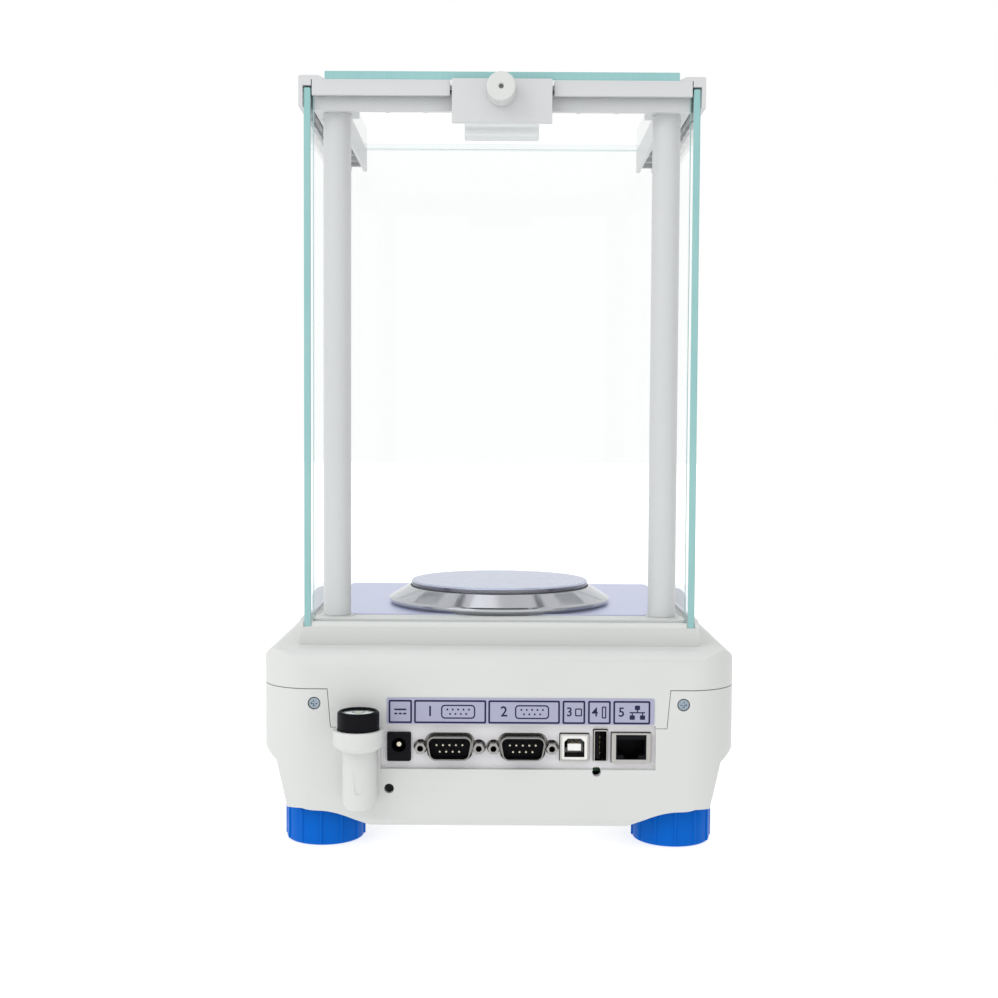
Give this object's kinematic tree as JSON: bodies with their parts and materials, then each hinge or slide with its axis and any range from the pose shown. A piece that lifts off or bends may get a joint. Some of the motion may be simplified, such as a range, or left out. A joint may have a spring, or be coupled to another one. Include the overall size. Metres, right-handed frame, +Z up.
{
  "type": "analytical balance",
  "caption": "Analytical balance with a glass draft chamber, sliding doors, round steel pan, rear ports, bubble level and levelling feet.",
  "frame": {"origin": "centre of the bounding box at the table plane, under the feet", "axes": "+Z up, +Y towards the rear face with the ports, -Y towards the console, +X to the right of a user at the console"},
  "size_m": [0.206, 0.355, 0.344],
  "materials": {
    "case": "satin moulded shell",
    "frame_plastic": "satin moulded frame",
    "casting": "cast, shot blasted",
    "sheet": "powder coated sheet",
    "label": "printed film",
    "zinc": "zinc plated",
    "black_plastic": "moulded",
    "nickel": "nickel plated",
    "gold": "gold plated contacts",
    "white_insert": "moulded insert",
    "board": "circuit board",
    "window": "clear hard window over a dark display",
    "panel": "membrane film",
    "key": "moulded key",
    "cell": "machined",
    "magnet": "ground iron",
    "stainless": "polished stainless steel",
    "floor": "satin stainless steel",
    "glass": "clear float glass",
    "blue_plastic": "moulded",
    "rubber": "soft pad",
    "vial": "clear vial"
  },
  "bodies": {
    "balance": {"lower_housing": "case", "upper_housing": "case", "base_chassis": "casting", "connector_plate": "sheet", "port_label_strip": "label", "housing_screws": "zinc", "power_jack": "black_plastic", "serial_shell_a": "nickel", "serial_shell_b": "nickel", "serial_insert_a": "black_plastic", "serial_insert_b": "black_plastic", "serial_pins": "gold", "jack_screws": "nickel", "device_port": "nickel", "device_tongue": "white_insert", "host_port": "nickel", "host_tongue": "black_plastic", "network_jack": "nickel", "network_insert": "black_plastic", "main_board": "board", "display_window": "window", "display_module": "board", "front_panel": "panel", "weigh_frame": "cell", "magnet_pot": "magnet", "chamber_base": "frame_plastic", "floor_plate": "floor", "column_left": "frame_plastic", "column_right": "frame_plastic", "rear_beam": "frame_plastic", "rail_left": "frame_plastic", "rail_right": "frame_plastic", "front_glass": "glass", "rear_glass": "glass", "level_case": "black_plastic", "level_vial": "vial"},
    "left_door": {"door_glass_left": "glass", "door_handle_left": "frame_plastic"},
    "right_door": {"door_glass_right": "glass", "door_handle_right": "frame_plastic"},
    "top_door": {"top_glass": "glass", "top_handle": "frame_plastic", "top_bracket": "frame_plastic", "top_knob": "frame_plastic"},
    "pan_carrier": {"pan_carrier": "cell"},
    "weigh_lever": {"weigh_lever": "cell"},
    "pan": {"pan": "stainless"},
    "draft_ring": {"draft_ring": "stainless"},
    "key_power": {"key_power": "key"},
    "key_menu": {"key_menu": "key"},
    "key_tare_left": {"key_tare_left": "key"},
    "key_tare_right": {"key_tare_right": "key"},
    "foot_pad_rear_left": {"foot_pad_rear_left": "rubber"},
    "foot_knob_rear_left": {"foot_knob_rear_left": "blue_plastic"},
    "foot_pad_rear_right": {"foot_pad_rear_right": "rubber"},
    "foot_knob_rear_right": {"foot_knob_rear_right": "blue_plastic"},
    "foot_pad_front_left": {"foot_pad_front_left": "rubber"},
    "foot_knob_front_left": {"foot_knob_front_left": "blue_plastic"},
    "foot_pad_front_right": {"foot_pad_front_right": "rubber"},
    "foot_knob_front_right": {"foot_knob_front_right": "blue_plastic"}
  },
  "joints": [
    {"name": "left_door_slide", "type": "slide", "parent": "balance", "child": "left_door", "axis": [0, 1, 0], "range_m": [0, 0.13]},
    {"name": "right_door_slide", "type": "slide", "parent": "balance", "child": "right_door", "axis": [0, 1, 0], "range_m": [0, 0.13]},
    {"name": "top_door_slide", "type": "slide", "parent": "balance", "child": "top_door", "axis": [0, 1, 0], "range_m": [0, 0.12]},
    {"name": "carrier_travel", "type": "slide", "parent": "balance", "child": "pan_carrier", "axis": [0, 0, -1], "range_m": [-0.0002, 0.0002], "stiffness_N_per_m": 20000},
    {"name": "lever_swing", "type": "hinge", "parent": "balance", "child": "weigh_lever", "pos_m": [0, 0.03, 0.058], "axis": [-1, 0, 0], "range_deg": [-0.4, 0.4]},
    {"name": "pan_lift", "type": "slide", "parent": "pan_carrier", "child": "pan", "axis": [0, 0, 1], "range_m": [0, 0.05]},
    {"name": "ring_lift", "type": "slide", "parent": "balance", "child": "draft_ring", "axis": [0, 0, 1], "range_m": [0, 0.06]},
    {"name": "key_power_press", "type": "slide", "parent": "balance", "child": "key_power", "axis": [0, 0.2768, -0.9609], "range_m": [0, 0.0008], "stiffness_N_per_m": 600},
    {"name": "key_menu_press", "type": "slide", "parent": "balance", "child": "key_menu", "axis": [0, 0.2768, -0.9609], "range_m": [0, 0.0008], "stiffness_N_per_m": 600},
    {"name": "key_tare_left_press", "type": "slide", "parent": "balance", "child": "key_tare_left", "axis": [0, 0.2768, -0.9609], "range_m": [0, 0.0008], "stiffness_N_per_m": 600},
    {"name": "key_tare_right_press", "type": "slide", "parent": "balance", "child": "key_tare_right", "axis": [0, 0.2768, -0.9609], "range_m": [0, 0.0008], "stiffness_N_per_m": 600},
    {"name": "foot_rear_left_lift", "type": "slide", "parent": "balance", "child": "foot_pad_rear_left", "axis": [0, 0, -1], "range_m": [-0.001, 0.005]},
    {"name": "foot_rear_left_turn", "type": "hinge", "parent": "foot_pad_rear_left", "child": "foot_knob_rear_left", "pos_m": [-0.077, 0.131, 0.009], "axis": [0, 0, 1], "range_deg": [-280, 1420]},
    {"name": "foot_rear_right_lift", "type": "slide", "parent": "balance", "child": "foot_pad_rear_right", "axis": [0, 0, -1], "range_m": [-0.001, 0.005]},
    {"name": "foot_rear_right_turn", "type": "hinge", "parent": "foot_pad_rear_right", "child": "foot_knob_rear_right", "pos_m": [0.077, 0.131, 0.009], "axis": [0, 0, 1], "range_deg": [-280, 1420]},
    {"name": "foot_front_left_lift", "type": "slide", "parent": "balance", "child": "foot_pad_front_left", "axis": [0, 0, -1], "range_m": [-0.001, 0.005]},
    {"name": "foot_front_left_turn", "type": "hinge", "parent": "foot_pad_front_left", "child": "foot_knob_front_left", "pos_m": [-0.077, -0.138, 0.009], "axis": [0, 0, 1], "range_deg": [-280, 1420]},
    {"name": "foot_front_right_lift", "type": "slide", "parent": "balance", "child": "foot_pad_front_right", "axis": [0, 0, -1], "range_m": [-0.001, 0.005]},
    {"name": "foot_front_right_turn", "type": "hinge", "parent": "foot_pad_front_right", "child": "foot_knob_front_right", "pos_m": [0.077, -0.138, 0.009], "axis": [0, 0, 1], "range_deg": [-280, 1420]}
  ],
  "couplings": [
    {"joint": "lever_swing", "follows": "carrier_travel", "rad_per_m": 25},
    {"joint": "foot_rear_left_lift", "follows": "foot_rear_left_turn", "m_per_rad": 0.00019894},
    {"joint": "foot_rear_right_lift", "follows": "foot_rear_right_turn", "m_per_rad": 0.00019894},
    {"joint": "foot_front_left_lift", "follows": "foot_front_left_turn", "m_per_rad": 0.00019894},
    {"joint": "foot_front_right_lift", "follows": "foot_front_right_turn", "m_per_rad": 0.00019894}
  ]
}
